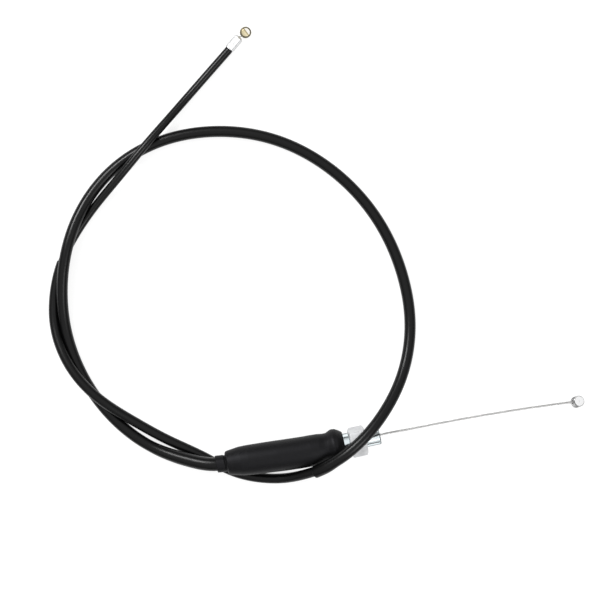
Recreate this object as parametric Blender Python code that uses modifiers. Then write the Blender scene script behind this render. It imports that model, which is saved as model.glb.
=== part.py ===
"""Throttle cable: a sheathed inner wire with a brass barrel nipple at the lever end, a long casing that
lies in one loose coil, a rubber boot over the casing adjuster, a zinc barrel with a swivel union nut, and
a bare stretch of stranded wire that ends in a steel barrel nipple.

The layout is set out in millimetres, x to the right, y away, z up, with the floor at z = 0. ORIGIN is the
middle of the footprint of the metal and rubber fittings, and becomes the model's origin.
"""
import bpy
import bmesh
import math
import numpy as np
from mathutils import Matrix, Vector

for old in list(bpy.data.objects):
    bpy.data.objects.remove(old, do_unlink=True)

# ------------------------------------------------------------------ driving dimensions, mm and degrees
MM = 0.001
ORIGIN = (64.73, 32.38)

GAP = 0.3                      # clearance between pieces that touch

WIRE_R = 0.75                  # 1.5 mm stranded inner wire
LINER_R, LINER_WALL = 1.20, 0.20
CONDUIT_R, CONDUIT_WALL = 1.85, 0.40
JACKET_R, JACKET_WALL = 2.50, 0.40
SHORT_SLEEVE_R, SHORT_SLEEVE_WALL = 3.10, 0.30
LONG_SLEEVE_R, LONG_SLEEVE_WALL = 3.50, 0.45
LONG_SLEEVE_LIP_R = 3.95       # where it is pushed over the short sleeve
LONG_SLEEVE_FLARE_R = 4.35     # where it enters the boot
TUBE_PITCH = 15.0              # distance between the points of a tube,
HUMP_PITCH = 10.5              # where it climbs over the boot and the nut,
LOOP_PITCH = 21.0              # and along the wide loop on the floor

# lever end: a straight stretch that starts at the ferrule's nose, level over the wire's stroke
NOSE = (-39.2, 170.4, 3.3)
STRAIGHT_TO = (-99.76, 99.37, 9.85)
FERRULE_R, FERRULE_LENGTH = 3.1, 10.2
WIRE_END_LENGTH = 42.0         # the part of the wire that comes out when the cable is pulled
BRASS_NIPPLE_AT = (-35.3, 173.6)
NIPPLE_R, NIPPLE_HEIGHT = 3.6, 7.0

# adjuster axis: t is measured along it from the boot's mouth towards the boot's neck
NUT_CENTRE = (37.2, -91.0, 10.15)
NUT_T = -8.85
AXIS_TURN, AXIS_RISE = 11.5, 2.5
BOOT_LENGTH = 83.1
BOOT_ASIDE = 0.3               # the soft boot sits this far off the barrel's axis
BEND_FROM, BEND_SLOPE = 24.0, 0.067
BARREL_R, BARREL_INNER_T, SHOULDER_T = 6.75, 26.0, -3.4
TIP_R, TIP_T, TIP_BORE_R = 4.7, -23.5, 2.6
THREAD_R = 4.0
UNION_FLATS, UNION_T0, UNION_T1 = 17.5, -3.7, -14.0
LOCK_FLATS, HEAD_FLATS = 12.0, 11.0
WIRE_OFFSET_AT_TIP = 1.3

# carburettor end
STEEL_NIPPLE_AT = (180.1, -65.8, 4.13)
STEEL_NIPPLE_LEAN = 10.9

# The casing's own route, from the straight stretch at the lever end to the boot's neck. It lies on the
# floor but for four low humps: over the coil, under it, over it again, and up over the boot and the nut.
ROUTE = [
    (-117.3, 78.5, 8.2),
    (-134.9, 57.8, 3.9),
    (-145.7, 42.0, 2.6),
    (-154.1, 24.9, 3.2),
    (-158.8, 5.3, 3.5),
    (-159.0, -14.4, 4.1),
    (-153.5, -33.0, 7.5),
    (-143.0, -49.9, 10.3),
    (-129.5, -63.2, 10.8),
    (-107.7, -78.2, 5.6),
    (-86.0, -90.4, 3.4),
    (-61.6, -101.9, 3.4),
    (-44.3, -110.6, 3.35),
    (-27.4, -114.9, 3.4),
    (-10.8, -115.1, 6.2),
    (3.8, -111.5, 14.2),
    (16.4, -106.1, 21.6),
    (27.25, -99.2, 25.3),
    (39.35, -88.8, 25.6),
    (52.6, -72.95, 21.0),
    (66.3, -46.4, 11.0),
    (71.2, -14.8, 4.7),
    (67.0, 13.6, 3.75),
    (50.6, 51.3, 3.75),
    (21.4, 83.5, 3.75),
    (-16.9, 103.95, 3.75),
    (-56.0, 109.1, 3.75),
    (-90.4, 102.7, 3.75),
    (-117.0, 87.9, 3.8),
    (-139.4, 61.0, 7.0),
    (-149.8, 33.4, 10.3),
    (-153.4, 4.9, 7.9),
    (-150.6, -23.0, 4.15),
    (-138.6, -52.8, 3.85),
    (-116.0, -80.9, 3.8),
    (-93.5, -96.0, 5.2),
    (-72.1, -102.9, 10.2),
]
SHORT_SLEEVE_FROM = (-154.3, 24.5, 3.2)
SLEEVE_STEP = (9.7, -109.1, 17.4)

# The bare wire beyond the barrel's tip, down to the steel nipple
WIRE_ROUTE = [
    (69.5, -83.35, 8.5),
    (91.2, -79.25, 7.3),
    (116.2, -74.8, 6.6),
    (136.1, -71.55, 6.2),
    (150.9, -69.3, 5.9),
    (165.8, -67.3, 5.4),
    (173.9, -66.3, 4.9),
]

# ------------------------------------------------------------------ collections, materials, small helpers
parts = bpy.data.collections.new("throttle_cable")
cutters = bpy.data.collections.new("throttle_cable_cutters")
bpy.context.scene.collection.children.link(parts)
bpy.context.scene.collection.children.link(cutters)


def material(name, colour, metallic, roughness):
    m = bpy.data.materials.new(name)
    m.use_nodes = True
    shader = m.node_tree.nodes["Principled BSDF"]
    shader.inputs["Base Color"].default_value = (*colour, 1.0)
    shader.inputs["Metallic"].default_value = metallic
    shader.inputs["Roughness"].default_value = roughness
    m.diffuse_color = (*colour, 1.0)
    return m


BLACK_PVC = (0.012, 0.012, 0.013)
ZINC = (0.80, 0.83, 0.84)


def place(x, y, z):
    """A layout point in the model's frame, in metres."""
    return Vector(((x - ORIGIN[0]) * MM, (y - ORIGIN[1]) * MM, z * MM))


def link(obj, mat, collection=parts):
    collection.objects.link(obj)
    if mat is not None:
        obj.data.materials.clear()
        obj.data.materials.append(mat)
    return obj


def as_cutter(obj):
    obj.hide_render = True
    obj.display_type = "WIRE"
    return obj


def smooth(obj, angle=35.0):
    obj.data.shade_smooth()
    obj.data.set_sharp_from_angle(angle=math.radians(angle))
    return obj


def frame_from(z_axis, x_hint, at):
    """A placement whose Z runs along z_axis and whose X is nearest x_hint."""
    z = Vector(z_axis).normalized()
    x = Vector(x_hint)
    x = (x - z * x.dot(z)).normalized()
    y = z.cross(x)
    m = Matrix((x, y, z)).transposed().to_4x4()
    m.translation = at
    return m


def empty(name, matrix):
    e = bpy.data.objects.new(name, None)
    e.empty_display_size = 0.01
    parts.objects.link(e)
    e.matrix_world = matrix
    return e


def turned(name, profile, mat, parent, steps=24, closed=True, collection=parts):
    """A profile of (radius, height) in millimetres, spun about the parent's Z axis. It runs down the
    outer side first; a closed one comes back up the bore."""
    mesh = bpy.data.meshes.new(name)
    verts = [(r * MM, 0.0, h * MM) for r, h in profile]
    edges = [(i, i + 1) for i in range(len(verts) - 1)]
    if closed:
        edges.append((len(verts) - 1, 0))
    mesh.from_pydata(verts, edges, [])
    obj = link(bpy.data.objects.new(name, mesh), mat, collection)
    obj.parent = parent
    screw = obj.modifiers.new("turn", "SCREW")
    screw.axis = "Z"
    screw.angle = 2 * math.pi
    screw.steps = steps
    screw.render_steps = steps
    screw.use_merge_vertices = True
    screw.merge_threshold = 0.00001
    screw.use_smooth_shade = True
    return obj


def prism(name, flats, low, high, turn, mat, parent, collection=parts):
    """A hexagonal bar along the parent's Z axis, with a corner at the angle turn from its X axis."""
    bm = bmesh.new()
    radius = flats / math.sqrt(3.0)
    bmesh.ops.create_cone(bm, cap_ends=True, segments=6, radius1=radius * MM, radius2=radius * MM,
                          depth=abs(high - low) * MM)
    # create_cone puts its first corner on the Y axis
    bmesh.ops.rotate(bm, cent=(0, 0, 0), matrix=Matrix.Rotation(math.radians(turn - 90.0), 3, "Z"), verts=bm.verts)
    bmesh.ops.translate(bm, vec=(0, 0, (low + high) / 2 * MM), verts=bm.verts)
    mesh = bpy.data.meshes.new(name)
    bm.to_mesh(mesh)
    bm.free()
    obj = link(bpy.data.objects.new(name, mesh), mat, collection)
    obj.parent = parent
    return obj


def rod(name, radius, low, high, parent, segments=24):
    """A plain round cutter along the parent's Z axis."""
    bm = bmesh.new()
    bmesh.ops.create_cone(bm, cap_ends=True, segments=segments, radius1=radius * MM, radius2=radius * MM,
                          depth=(high - low) * MM)
    bmesh.ops.translate(bm, vec=(0, 0, (low + high) / 2 * MM), verts=bm.verts)
    mesh = bpy.data.meshes.new(name)
    bm.to_mesh(mesh)
    bm.free()
    obj = link(bpy.data.objects.new(name, mesh), None, cutters)
    obj.parent = parent
    return as_cutter(obj)


def boolean(obj, other, operation):
    b = obj.modifiers.new(operation.lower(), "BOOLEAN")
    b.operation = operation
    b.solver = "EXACT"
    b.object = other
    return obj


def evaluated_mesh(obj):
    bpy.context.view_layer.update()
    graph = bpy.context.evaluated_depsgraph_get()
    return bpy.data.meshes.new_from_object(obj.evaluated_get(graph), depsgraph=graph)


def curve_tube(name, points, radius, mat, caps=True, radii=None):
    """A round tube along points, in millimetres of the layout."""
    curve = bpy.data.curves.new(name, "CURVE")
    curve.dimensions = "3D"
    curve.twist_mode = "Z_UP"
    curve.bevel_depth = radius * MM
    curve.bevel_resolution = 2
    curve.use_fill_caps = caps
    spline = curve.splines.new("POLY")
    spline.points.add(len(points) - 1)
    for i, p in enumerate(points):
        spline.points[i].co = (*place(*p), 1.0)
        spline.points[i].radius = 1.0 if radii is None else radii[i] / radius
    spline.use_smooth = True
    return link(bpy.data.objects.new(name, curve), mat)


def hollow_tube(name, points, radius, wall, mat, radii=None):
    """A tube with an open bore: its skin is one open surface, thickened inwards."""
    skin = curve_tube(name + "_skin", points, radius, mat, caps=False, radii=radii)
    mesh = evaluated_mesh(skin)
    bm = bmesh.new()
    bm.from_mesh(mesh)
    bmesh.ops.remove_doubles(bm, verts=bm.verts, dist=0.00001)
    bm.to_mesh(mesh)
    bm.free()
    obj = link(bpy.data.objects.new(name, mesh), mat)
    obj.matrix_world = skin.matrix_world
    bpy.data.objects.remove(skin, do_unlink=True)
    thick = obj.modifiers.new("wall", "SOLIDIFY")
    thick.thickness = wall * MM
    thick.offset = -1.0
    thick.use_even_offset = True
    thick.use_rim = True
    return smooth(obj, 50.0)


# ------------------------------------------------------------------ the curve through a route's points
class Smooth:
    """A natural cubic through the points, with its length measured along it."""

    def __init__(self, points):
        p = np.array(points, float)
        d = np.concatenate([[0.0], np.cumsum(np.linalg.norm(np.diff(p, axis=0), axis=1))])
        h, n = np.diff(d), len(p)
        a, b = np.zeros((n, n)), np.zeros((n, 3))
        a[0, 0] = a[-1, -1] = 1.0
        for i in range(1, n - 1):
            a[i, i - 1], a[i, i], a[i, i + 1] = h[i - 1], 2 * (h[i - 1] + h[i]), h[i]
            b[i] = 6 * ((p[i + 1] - p[i]) / h[i] - (p[i] - p[i - 1]) / h[i - 1])
        m = np.linalg.solve(a, b)
        t = np.linspace(0.0, d[-1], 6001)
        k = np.clip(np.searchsorted(d, t) - 1, 0, n - 2)
        u, v, w = (d[k + 1] - t)[:, None], (t - d[k])[:, None], h[k][:, None]
        self.dense = ((m[k] * u ** 3 + m[k + 1] * v ** 3) / (6 * w)
                      + (p[k] / w - m[k] * w / 6) * u + (p[k + 1] / w - m[k + 1] * w / 6) * v)
        self.s = np.concatenate([[0.0], np.cumsum(np.linalg.norm(np.diff(self.dense, axis=0), axis=1))])
        self.length = float(self.s[-1])

    def at(self, s):
        return tuple(float(np.interp(s, self.s, self.dense[:, i])) for i in range(3))

    def nearest(self, point, low=0.0, high=1e9):
        away = np.linalg.norm(self.dense - np.array(point, float), axis=1)
        away[(self.s < low) | (self.s > high)] = 1e9
        return float(self.s[int(away.argmin())])


def stations(marks):
    """Lengths along the route that hold every mark. Each mark is (length, pitch), and the stretch that
    follows it is shared out evenly in steps of about that pitch."""
    marks = sorted(marks)
    out = [marks[0][0]]
    for (a, pitch), (b, _) in zip(marks, marks[1:]):
        n = max(1, int(round((b - a) / pitch)))
        out += [a + (b - a) * (i + 1) / n for i in range(n)]
    return out


# ------------------------------------------------------------------ the two axes that pieces move along
turn, rise = math.radians(AXIS_TURN), math.radians(AXIS_RISE)
AXIS = Vector((-math.cos(turn) * math.cos(rise), -math.sin(turn) * math.cos(rise), math.sin(rise)))
SIDE = Vector((AXIS.y, -AXIS.x, 0.0)).normalized()          # level, and square to the axis
MOUTH = Vector(NUT_CENTRE) - AXIS * NUT_T


def on_axis(t, side=0.0, up=0.0):
    return MOUTH + AXIS * t + SIDE * side + AXIS.cross(SIDE) * up


def boot_bend(t):
    """How far the soft boot leans off the axis, at t from its mouth."""
    lean = BEND_SLOPE * math.sqrt(max(0.0, t - BEND_FROM) ** 2 + 16.0) - BEND_SLOPE * 4.0
    return BOOT_ASIDE + lean + 0.0038 * max(0.0, t - 76.0) ** 2


def boot_centre(t):
    return on_axis(t, boot_bend(t))


nose, far = Vector(NOSE), Vector(STRAIGHT_TO)
PULL = Vector((0.6563, 0.7544, 0.0)).normalized()            # the way the wire comes out of the casing: level

adjuster_axis = empty("adjuster_axis", frame_from(AXIS, SIDE, place(*MOUTH)))
lever_axis = empty("lever_axis", frame_from(-PULL, (0, 0, 1), place(*NOSE)))

# ------------------------------------------------------------------ the casing's centreline
straight = [nose - PULL * d for d in (1.6, 17.0, 33.0, 48.0)] + [nose - PULL * 70.0 + Vector((0.26, -0.35, 3.0)), far]
neck = [boot_centre(t) for t in (BOOT_LENGTH - 0.5, 78.0)]
inside = [on_axis(66.0, 1.85), on_axis(57.5, 0.55), on_axis(50.0), on_axis(43.0), on_axis(36.6)]
casing = Smooth([tuple(p) for p in straight] + ROUTE + [tuple(p) for p in neck + inside])

end = casing.length
JACKET_FROM = FERRULE_LENGTH + GAP - 1.6
JACKET_TO = casing.nearest(on_axis(49.6 + GAP), end - 60.0)
SHORT_FROM = casing.nearest(SHORT_SLEEVE_FROM, 100.0, 260.0)
STEP = casing.nearest(SLEEVE_STEP, 380.0, 500.0)
SHORT_TO = STEP + 9.0
NECK = casing.nearest(boot_centre(BOOT_LENGTH), end - 90.0)
FLARE_FROM = NECK - 46.0
LONG_TO = casing.nearest(on_axis(70.0, 2.0), end - 60.0)

line = stations([(0.0, HUMP_PITCH), (JACKET_FROM, TUBE_PITCH), (SHORT_FROM, TUBE_PITCH), (STEP - 28.0, HUMP_PITCH),
                 (STEP, HUMP_PITCH), (SHORT_TO, HUMP_PITCH), (STEP + 16.0, HUMP_PITCH), (STEP + 66.0, TUBE_PITCH),
                 (STEP + 126.0, LOOP_PITCH), (STEP + 420.0, TUBE_PITCH), (FLARE_FROM, HUMP_PITCH),
                 (FLARE_FROM + 22.0, HUMP_PITCH), (NECK, TUBE_PITCH), (LONG_TO, TUBE_PITCH), (JACKET_TO, TUBE_PITCH),
                 (end, TUBE_PITCH)])


def stretch(low, high):
    return [s for s in line if low - 0.001 <= s <= high + 0.001]


def long_sleeve_radius(s):
    """Pushed over the short sleeve at one end and spread by the boot's end at the other."""
    lip = np.interp(s, [STEP, SHORT_TO + 0.5, STEP + 16.0], [LONG_SLEEVE_LIP_R, LONG_SLEEVE_LIP_R, LONG_SLEEVE_R])
    flare = np.interp(s, [FLARE_FROM, FLARE_FROM + 22.0, LONG_TO], [LONG_SLEEVE_R, LONG_SLEEVE_FLARE_R - 0.15,
                                                                 LONG_SLEEVE_FLARE_R])
    return float(max(lip, flare))


def points_of(low, high):
    return [casing.at(s) for s in stretch(low, high)]


jacket = hollow_tube("casing_jacket", points_of(JACKET_FROM, JACKET_TO), JACKET_R, JACKET_WALL,
                     material("jacket_pvc", BLACK_PVC, 0.0, 0.42))
conduit = hollow_tube("casing_conduit", points_of(0.0, end), CONDUIT_R, CONDUIT_WALL,
                      material("conduit_steel", (0.45, 0.45, 0.46), 0.9, 0.4))
liner = hollow_tube("casing_liner", points_of(0.0, end), LINER_R, LINER_WALL,
                    material("liner_plastic", (0.85, 0.86, 0.84), 0.0, 0.35))
short_sleeve = hollow_tube("short_sleeve", points_of(SHORT_FROM, SHORT_TO), SHORT_SLEEVE_R, SHORT_SLEEVE_WALL,
                           material("short_sleeve_pvc", BLACK_PVC, 0.0, 0.38))
long_line = stretch(STEP, LONG_TO)
long_sleeve = hollow_tube("long_sleeve", [casing.at(s) for s in long_line], LONG_SLEEVE_R, LONG_SLEEVE_WALL,
                          material("long_sleeve_pvc", BLACK_PVC, 0.0, 0.45),
                          radii=[long_sleeve_radius(s) for s in long_line])

# ------------------------------------------------------------------ the inner wire, in the stretches that move together
steel = material("wire_steel", (0.62, 0.60, 0.58), 0.95, 0.35)
wire_line = [s for s in line if s > WIRE_END_LENGTH + 4.0]
inner_wire = curve_tube("inner_wire", [casing.at(WIRE_END_LENGTH + GAP)] + [casing.at(s) for s in wire_line],
                        WIRE_R, steel)

brass_at = Vector((*BRASS_NIPPLE_AT, 0.0))
outside = nose + PULL * 0.6
to_nipple = Vector((brass_at.x - outside.x, brass_at.y - outside.y, 0.0)).normalized()
entry_z = NOSE[2]
wire_end_points = [casing.at(WIRE_END_LENGTH), casing.at(22.0), casing.at(5.0), tuple(outside),
                   tuple(Vector((*BRASS_NIPPLE_AT, entry_z)) - to_nipple * 2.9),
                   tuple(Vector((*BRASS_NIPPLE_AT, entry_z)) + to_nipple * 3.1)]
throttle_wire_end = curve_tube("throttle_wire_end", wire_end_points, WIRE_R,
                               material("wire_end_steel", (0.62, 0.60, 0.58), 0.95, 0.35))

steel_at = Vector(STEEL_NIPPLE_AT)
last = Vector(WIRE_ROUTE[-1])
heading = Vector((steel_at.x - last.x, steel_at.y - last.y, 0.0)).normalized()
lean = math.radians(STEEL_NIPPLE_LEAN)
ENTRY = heading * math.cos(lean) - Vector((0, 0, 1)) * math.sin(lean)   # the way the wire enters the nipple
wire_out = (on_axis(TIP_T, WIRE_OFFSET_AT_TIP) - on_axis(35.6)).normalized()
bare = Smooth([tuple(on_axis(35.6)), tuple(on_axis(35.6) + wire_out * 30.0), tuple(on_axis(TIP_T, WIRE_OFFSET_AT_TIP)),
               tuple(on_axis(TIP_T, WIRE_OFFSET_AT_TIP) + Vector((9.0, 1.76, -0.4)))] + WIRE_ROUTE
              + [tuple(steel_at - ENTRY * 3.2), tuple(steel_at + ENTRY * 3.2)])
bare_line = stations([(0.0, 20.0), (bare.nearest(on_axis(TIP_T, WIRE_OFFSET_AT_TIP)), 14.0),
                      (bare.nearest(steel_at - ENTRY * 4.2), 1.0), (bare.nearest(steel_at - ENTRY * 3.2), 6.0),
                      (bare.length, 1.0)])
carb_wire = curve_tube("carb_wire", [bare.at(s) for s in bare_line], WIRE_R,
                       material("carb_wire_steel", (0.66, 0.65, 0.63), 0.95, 0.32))

# ------------------------------------------------------------------ lever end: ferrule and brass nipple
throttle_end_ferrule = turned("throttle_end_ferrule", [
    (FERRULE_R, FERRULE_LENGTH), (FERRULE_R, 0.7), (FERRULE_R - 0.7, 0.0), (WIRE_R + 0.5, 0.0), (WIRE_R + 0.5, 1.3),
    (CONDUIT_R + 0.25, 1.3), (CONDUIT_R + 0.25, FERRULE_LENGTH)],
    material("ferrule_zinc", ZINC, 1.0, 0.3), lever_axis)
# the profile above is measured from the nose towards the casing, so it runs down its outer side

brass_axis = empty("brass_nipple_axis", frame_from((0, 0, 1), to_nipple, place(*BRASS_NIPPLE_AT, 0.0)))
throttle_nipple = turned("throttle_nipple", [
    (0.0, NIPPLE_HEIGHT), (NIPPLE_R - 0.9, NIPPLE_HEIGHT), (NIPPLE_R, NIPPLE_HEIGHT - 0.9), (NIPPLE_R, 0.9),
    (NIPPLE_R - 0.9, 0.0), (0.0, 0.0)],
    material("nipple_brass", (0.72, 0.52, 0.20), 1.0, 0.28), brass_axis, closed=False)
hole_axis = empty("brass_nipple_hole_axis", frame_from(to_nipple, (0, 0, 1), place(*BRASS_NIPPLE_AT, entry_z)))
boolean(throttle_nipple, rod("brass_nipple_hole", WIRE_R + GAP, -NIPPLE_R - 1, NIPPLE_R + 1, hole_axis, 12), "DIFFERENCE")

# ------------------------------------------------------------------ carburettor end: steel nipple
up = ENTRY.cross(Vector((0, 0, 1)).cross(ENTRY)).normalized()
steel_axis = empty("steel_nipple_axis", frame_from(up, ENTRY, place(*steel_at)))
carb_nipple = turned("carb_nipple", [
    (0.0, NIPPLE_HEIGHT / 2), (NIPPLE_R - 0.5, NIPPLE_HEIGHT / 2), (NIPPLE_R, NIPPLE_HEIGHT / 2 - 0.5),
    (NIPPLE_R, -NIPPLE_HEIGHT / 2 + 0.5), (NIPPLE_R - 0.5, -NIPPLE_HEIGHT / 2), (0.0, -NIPPLE_HEIGHT / 2)],
    material("nipple_steel", ZINC, 1.0, 0.3), steel_axis, closed=False)
steel_hole_axis = empty("steel_nipple_hole_axis", frame_from(ENTRY, up, place(*steel_at)))
boolean(carb_nipple, rod("steel_nipple_hole", WIRE_R + GAP, -NIPPLE_R - 1, NIPPLE_R + 1, steel_hole_axis, 12),
        "DIFFERENCE")

# ------------------------------------------------------------------ adjuster: casing ferrule, screw, lock nut, barrel
adjuster_end_ferrule = turned("adjuster_end_ferrule", [
    (3.5, 49.0), (3.5, 35.7), (2.8, 35.0), (WIRE_R + 0.5, 35.0), (WIRE_R + 0.5, 36.3), (CONDUIT_R + 0.25, 36.3),
    (CONDUIT_R + 0.25, 49.0)],
    material("adjuster_ferrule_zinc", ZINC, 1.0, 0.3), adjuster_axis)

screw_zinc = material("adjuster_screw_zinc", ZINC, 1.0, 0.32)
adjuster_screw = prism("adjuster_screw", HEAD_FLATS, 32.0, 44.0, 20.0, screw_zinc, adjuster_axis)
shank = turned("adjuster_screw_shank", [(0.0, 33.0), (THREAD_R, 33.0), (THREAD_R, 8.6), (THREAD_R - 0.6, 8.0),
                                        (0.0, 8.0)], None, adjuster_axis, closed=False, collection=cutters)
boolean(adjuster_screw, as_cutter(shank), "UNION")
boolean(adjuster_screw, rod("adjuster_cup", 3.8, 34.7, 46.0, adjuster_axis), "DIFFERENCE")
boolean(adjuster_screw, rod("adjuster_wire_bore", 1.9, 6.0, 36.0, adjuster_axis, 16), "DIFFERENCE")


def chamfered(obj, flats, low, high, name, both=True):
    """Turns the corners of a hexagon down, as on a real nut."""
    corner = flats / math.sqrt(3.0)
    cut, drop = flats / 2 * 0.985, (corner - flats / 2 * 0.985) * math.tan(math.radians(30.0)) * 1.02
    big = corner + 0.4
    extra = (big - cut) * math.tan(math.radians(30.0))
    lo = [(big, low + extra), (cut, low), (0.0, low)] if both else [(big, low - 1.0), (0.0, low - 1.0)]
    shape = turned(name, [(0.0, high), (cut, high), (big, high - extra)] + lo, None, obj.parent, steps=36,
                   closed=False, collection=cutters)
    as_cutter(shape)
    return boolean(obj, shape, "INTERSECT")


lock_zinc = material("lock_nut_zinc", ZINC, 1.0, 0.3)
adjuster_lock_nut = prism("adjuster_lock_nut", LOCK_FLATS, BARREL_INNER_T + GAP, BARREL_INNER_T + GAP + 5.0, 5.0,
                          lock_zinc, adjuster_axis)
chamfered(adjuster_lock_nut, LOCK_FLATS, BARREL_INNER_T + GAP, BARREL_INNER_T + GAP + 5.0, "lock_nut_chamfer")
boolean(adjuster_lock_nut, rod("lock_nut_bore", THREAD_R + GAP, 20.0, 40.0, adjuster_axis), "DIFFERENCE")

adjuster_barrel = turned("adjuster_barrel", [
    (BARREL_R - 0.4, BARREL_INNER_T), (BARREL_R, BARREL_INNER_T - 0.4), (BARREL_R, SHOULDER_T + 0.3),
    (BARREL_R - 0.3, SHOULDER_T), (TIP_R, SHOULDER_T), (TIP_R, -6.6), (TIP_R + 0.9, -6.75), (TIP_R + 0.9, -7.5),
    (TIP_R, -7.9), (TIP_R, TIP_T + 0.35), (TIP_R - 0.35, TIP_T), (TIP_BORE_R, TIP_T), (TIP_BORE_R, 5.0),
    (THREAD_R + GAP, 7.0), (THREAD_R + GAP, BARREL_INNER_T)],
    material("barrel_zinc", ZINC, 1.0, 0.22), adjuster_axis, steps=32)

union_zinc = material("union_nut_zinc", (0.86, 0.87, 0.88), 1.0, 0.45)
union_nut = prism("union_nut", UNION_FLATS, UNION_T1, UNION_T0, 13.0, union_zinc, adjuster_axis)
chamfered(union_nut, UNION_FLATS, UNION_T1, UNION_T0, "union_nut_chamfer")
boolean(union_nut, rod("union_nut_hole", TIP_R + GAP, -20.0, 0.0, adjuster_axis, 32), "DIFFERENCE")
boolean(union_nut, rod("union_nut_thread", 6.2, -20.0, UNION_T0 - 2.7, adjuster_axis, 32), "DIFFERENCE")

# ------------------------------------------------------------------ the rubber boot
BOOT_OUTER = [
    (5.25, 83.1), (5.5, 82.7), (5.55, 77.9), (5.15, 77.3), (5.15, 76.9), (6.7, 76.5), (7.6, 75.8), (8.0, 74.2),
    (8.6, 71.2), (9.3, 67.5), (9.7, 62.0), (9.85, 56.0), (10.05, 44.0), (10.1, 30.0), (10.05, 22.0), (9.8, 15.0),
    (9.6, 11.5), (9.85, 9.4), (10.4, 7.6), (10.5, 6.0), (10.2, 3.9), (9.4, 1.9), (8.6, 0.7), (7.8, 0.2)]
BOOT_INNER = [(7.35, 0.2), (7.35, 7.0), (8.0, 10.0), (8.3, 14.0), (8.3, 60.0), (7.3, 66.0), (5.4, 74.1), (4.75, 76.3), (4.75, 83.1)]
boot_rubber = material("boot_rubber", (0.011, 0.011, 0.012), 0.0, 0.5)
boot_blank = turned("rubber_boot_blank", BOOT_OUTER + BOOT_INNER, boot_rubber, adjuster_axis, steps=32)
boot_mesh = evaluated_mesh(boot_blank)
for v in boot_mesh.vertices:
    v.co.x += boot_bend(v.co.z / MM) * MM
rubber_boot = link(bpy.data.objects.new("rubber_boot", boot_mesh), boot_rubber)
rubber_boot.parent = adjuster_axis
bpy.data.objects.remove(boot_blank, do_unlink=True)
smooth(rubber_boot)
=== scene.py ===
"""Looks of the throttle cable: smooth casing, sleeves and boot, stranded wire, and turned metal ends, built
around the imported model. The layout is in millimetres, as in the part's own script, and place() turns it
into the model's frame in metres."""

import math

import bmesh
import bpy
import numpy as np
from mathutils import Matrix, Vector


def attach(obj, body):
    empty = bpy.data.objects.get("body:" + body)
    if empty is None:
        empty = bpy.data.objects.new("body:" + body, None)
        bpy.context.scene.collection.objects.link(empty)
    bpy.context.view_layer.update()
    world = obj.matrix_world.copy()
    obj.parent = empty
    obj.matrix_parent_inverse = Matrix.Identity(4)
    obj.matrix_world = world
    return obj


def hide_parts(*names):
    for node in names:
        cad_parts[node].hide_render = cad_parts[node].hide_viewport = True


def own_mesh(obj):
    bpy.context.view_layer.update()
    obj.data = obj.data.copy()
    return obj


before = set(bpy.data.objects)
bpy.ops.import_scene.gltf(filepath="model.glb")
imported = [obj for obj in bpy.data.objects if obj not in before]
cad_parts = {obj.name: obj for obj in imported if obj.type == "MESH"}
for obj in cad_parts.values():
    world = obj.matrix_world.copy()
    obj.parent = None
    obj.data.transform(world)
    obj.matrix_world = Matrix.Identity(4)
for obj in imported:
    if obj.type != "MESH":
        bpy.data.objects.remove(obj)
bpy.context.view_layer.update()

MM = 0.001
ORIGIN = (64.73, 32.38)

# ------------------------------------------------------------------ camera
scene = bpy.context.scene
scene.view_settings.view_transform = "Standard"
scene.view_settings.look = "None"

lens = bpy.data.cameras.new("photo_view")
lens.sensor_fit = "HORIZONTAL"
lens.angle = 2 * math.atan(0.195)
lens.clip_start, lens.clip_end = 0.05, 20.0
camera = bpy.data.objects.new("photo_view", lens)
scene.collection.objects.link(camera)
camera.location = (-ORIGIN[0] * MM, -ORIGIN[1] * MM, 1.0)
camera.rotation_euler = (0.0, 0.0, 0.0)
scene.camera = camera

# ------------------------------------------------------------------ the same dimensions as the CAD model, mm
WIRE_R = 0.75
CONDUIT_R = 1.85
JACKET_R, JACKET_WALL = 2.50, 0.40
SHORT_SLEEVE_R = 3.10
LONG_SLEEVE_R, LONG_SLEEVE_LIP_R, LONG_SLEEVE_FLARE_R = 3.50, 3.95, 4.35

NOSE = (-39.2, 170.4, 3.3)
STRAIGHT_TO = (-99.76, 99.37, 9.85)
FERRULE_R, FERRULE_LENGTH = 3.1, 10.2
WIRE_END_LENGTH = 42.0
BRASS_NIPPLE_AT = (-35.3, 173.6)
NIPPLE_R, NIPPLE_HEIGHT = 3.6, 7.0

NUT_CENTRE = (37.2, -91.0, 10.15)
NUT_T = -8.85
AXIS_TURN, AXIS_RISE = 11.5, 2.5
BOOT_LENGTH = 83.1
BOOT_ASIDE = 0.3
BEND_FROM, BEND_SLOPE = 24.0, 0.067
BARREL_R, BARREL_INNER_T, SHOULDER_T = 6.75, 26.0, -3.4
TIP_R, TIP_T, TIP_BORE_R = 4.7, -23.5, 2.6
THREAD_R = 4.0
UNION_FLATS, UNION_T0, UNION_T1 = 17.5, -3.7, -14.0
WIRE_OFFSET_AT_TIP = 1.3
STEEL_NIPPLE_AT = (180.1, -65.8, 4.13)
STEEL_NIPPLE_LEAN = 10.9

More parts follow.
